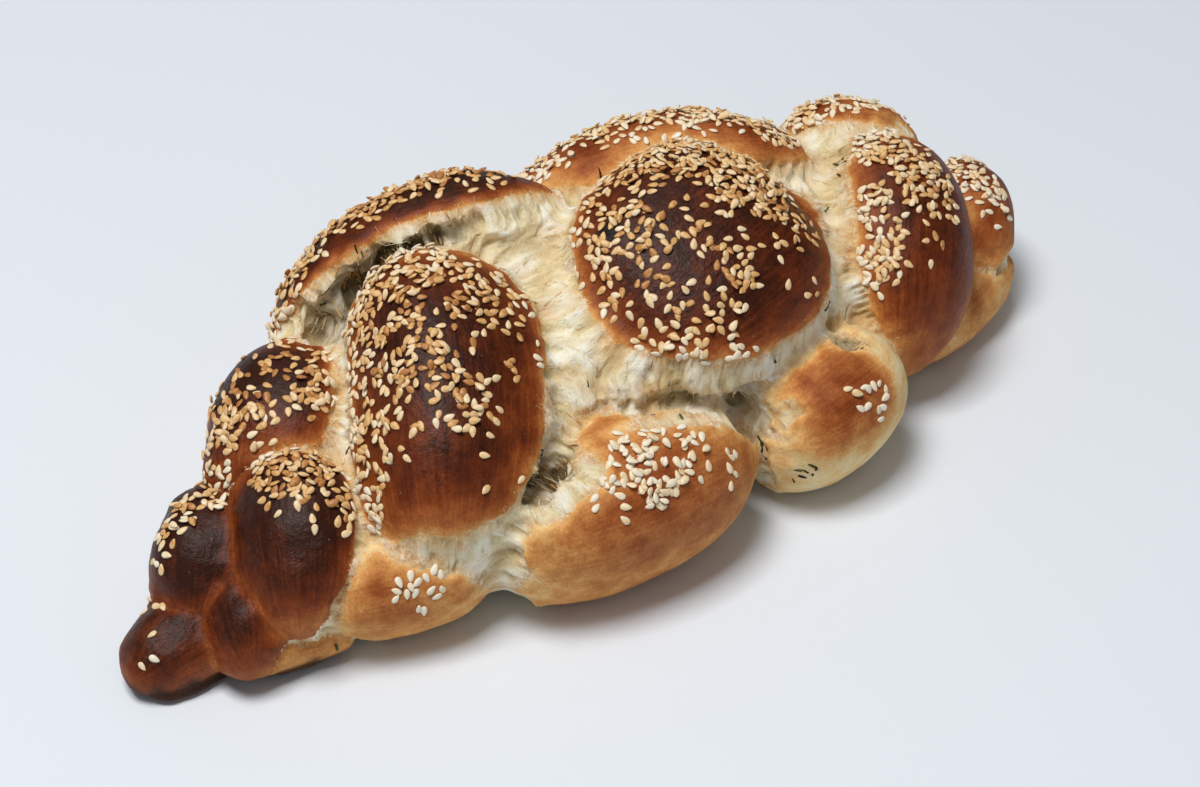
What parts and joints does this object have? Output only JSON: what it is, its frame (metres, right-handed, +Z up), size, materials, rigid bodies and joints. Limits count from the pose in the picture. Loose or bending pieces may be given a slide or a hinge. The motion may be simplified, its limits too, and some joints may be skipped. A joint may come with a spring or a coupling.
{
  "type": "braided loaf",
  "caption": "Long braided loaf of egg-washed bread, pointed at one end, with swollen dark-crusted rope lobes over torn pale crumb and a flat base.",
  "frame": {"origin": "on the flat base, under the middle of the loaf's box", "axes": "+X along the loaf, away from its pointed end; +Z up; the front side with the low pale lobes faces -Y"},
  "size_m": [0.3026, 0.1372, 0.0835],
  "materials": {
    "crust": "egg-washed bread crust: near-black brown on the highest lobes, red-brown and orange on their flanks, cream where the dough tore, satin sheen",
    "sesame": "hulled sesame seeds, toasted golden on the crown and ivory lower down, satin",
    "crumb": "torn bread fibres, cream, matt",
    "herb": "dried herb needles, dark green to black, matt"
  },
  "bodies": {
    "root": {"braided_loaf": "crust"}
  },
  "joints": []
}
